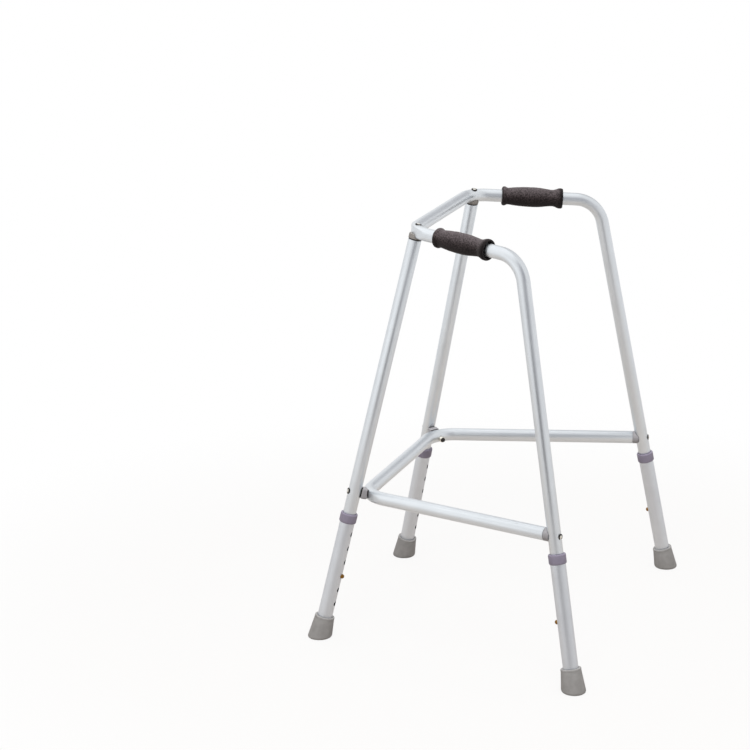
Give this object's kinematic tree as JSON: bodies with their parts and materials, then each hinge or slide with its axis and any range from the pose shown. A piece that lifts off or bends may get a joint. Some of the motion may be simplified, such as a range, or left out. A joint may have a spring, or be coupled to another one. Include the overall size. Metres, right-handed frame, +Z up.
{
  "type": "walking frame",
  "caption": "Rigid walking frame of bent aluminium tube with foam hand grips, a braced lower rail, telescopic legs set by spring buttons, and rubber ferrules.",
  "frame": {"origin": "on the floor, midway between the feet", "axes": "+Z up, -Y to the front crossbar, +X to the left hand of the user"},
  "size_m": [0.6674, 0.519, 0.7219],
  "materials": {
    "anodised_aluminium": "satin anodised tube",
    "grip_foam": "matt foam with fine speckle",
    "collar_plastic": "satin moulded plastic",
    "plug_plastic": "satin moulded plastic",
    "dark_plastic": "matt moulded plastic",
    "ferrule_rubber": "matt moulded rubber",
    "bright_steel": "bright plated",
    "brass": "polished dome",
    "spring_steel": "plain strip"
  },
  "bodies": {
    "frame": {"top_frame_tube": "anodised_aluminium", "lower_rail": "anodised_aluminium", "front_leg_left": "anodised_aluminium", "grip_left": "grip_foam", "corner_plug_left": "dark_plastic", "corner_bolt_left": "bright_steel", "corner_nut_left": "bright_steel", "front_rail_spacer_left": "plug_plastic", "front_rail_bolt_left": "bright_steel", "front_rail_nut_left": "bright_steel", "rail_end_plug_left": "plug_plastic", "rear_rail_bolt_left": "bright_steel", "rear_rail_nut_left": "bright_steel", "front_leg_right": "anodised_aluminium", "grip_right": "grip_foam", "corner_plug_right": "dark_plastic", "corner_bolt_right": "bright_steel", "corner_nut_right": "bright_steel", "front_rail_spacer_right": "plug_plastic", "front_rail_bolt_right": "bright_steel", "front_rail_nut_right": "bright_steel", "rail_end_plug_right": "plug_plastic", "rear_rail_bolt_right": "bright_steel", "rear_rail_nut_right": "bright_steel", "snap_clip_front_left": "spring_steel", "snap_clip_front_right": "spring_steel", "snap_clip_rear_left": "spring_steel", "snap_clip_rear_right": "spring_steel"},
    "front_left_leg": {"leg_tube_front_left": "anodised_aluminium", "leg_collar_front_left": "collar_plastic", "ferrule_front_left": "ferrule_rubber", "ferrule_disc_front_left": "bright_steel"},
    "front_left_button": {"snap_button_front_left": "brass"},
    "front_right_leg": {"leg_tube_front_right": "anodised_aluminium", "leg_collar_front_right": "collar_plastic", "ferrule_front_right": "ferrule_rubber", "ferrule_disc_front_right": "bright_steel"},
    "front_right_button": {"snap_button_front_right": "brass"},
    "rear_left_leg": {"leg_tube_rear_left": "anodised_aluminium", "leg_collar_rear_left": "collar_plastic", "ferrule_rear_left": "ferrule_rubber", "ferrule_disc_rear_left": "bright_steel"},
    "rear_left_button": {"snap_button_rear_left": "brass"},
    "rear_right_leg": {"leg_tube_rear_right": "anodised_aluminium", "leg_collar_rear_right": "collar_plastic", "ferrule_rear_right": "ferrule_rubber", "ferrule_disc_rear_right": "bright_steel"},
    "rear_right_button": {"snap_button_rear_right": "brass"}
  },
  "joints": [
    {"name": "front_left_leg_slide", "type": "slide", "parent": "frame", "child": "front_left_leg", "axis": [0.0921, -0.2138, -0.9725], "range_m": [0, 0.0762], "deforming": ["snap_button_front_left", "snap_clip_front_left"]},
    {"name": "front_left_button_press", "type": "slide", "parent": "frame", "child": "front_left_button", "axis": [-0.0202, -0.9769, 0.2129], "range_m": [0, 0.006], "stiffness_N_per_m": 1500, "springref_m": -0.003, "deforming": ["snap_clip_front_left"]},
    {"name": "front_right_leg_slide", "type": "slide", "parent": "frame", "child": "front_right_leg", "axis": [-0.0921, -0.2138, -0.9725], "range_m": [0, 0.0762], "deforming": ["snap_button_front_right", "snap_clip_front_right"]},
    {"name": "front_right_button_press", "type": "slide", "parent": "frame", "child": "front_right_button", "axis": [0.0202, -0.9769, 0.2129], "range_m": [0, 0.006], "stiffness_N_per_m": 1500, "springref_m": -0.003, "deforming": ["snap_clip_front_right"]},
    {"name": "rear_left_leg_slide", "type": "slide", "parent": "frame", "child": "rear_left_leg", "axis": [0.1086, 0.1664, -0.9801], "range_m": [0, 0.0762], "deforming": ["snap_button_rear_left", "snap_clip_rear_left"]},
    {"name": "rear_left_button_press", "type": "slide", "parent": "frame", "child": "rear_left_button", "axis": [-0.0183, 0.9861, 0.1654], "range_m": [0, 0.006], "stiffness_N_per_m": 1500, "springref_m": -0.003, "deforming": ["snap_clip_rear_left"]},
    {"name": "rear_right_leg_slide", "type": "slide", "parent": "frame", "child": "rear_right_leg", "axis": [-0.1086, 0.1664, -0.9801], "range_m": [0, 0.0762], "deforming": ["snap_button_rear_right", "snap_clip_rear_right"]},
    {"name": "rear_right_button_press", "type": "slide", "parent": "frame", "child": "rear_right_button", "axis": [0.0183, 0.9861, 0.1654], "range_m": [0, 0.006], "stiffness_N_per_m": 1500, "springref_m": -0.003, "deforming": ["snap_clip_rear_right"]}
  ]
}
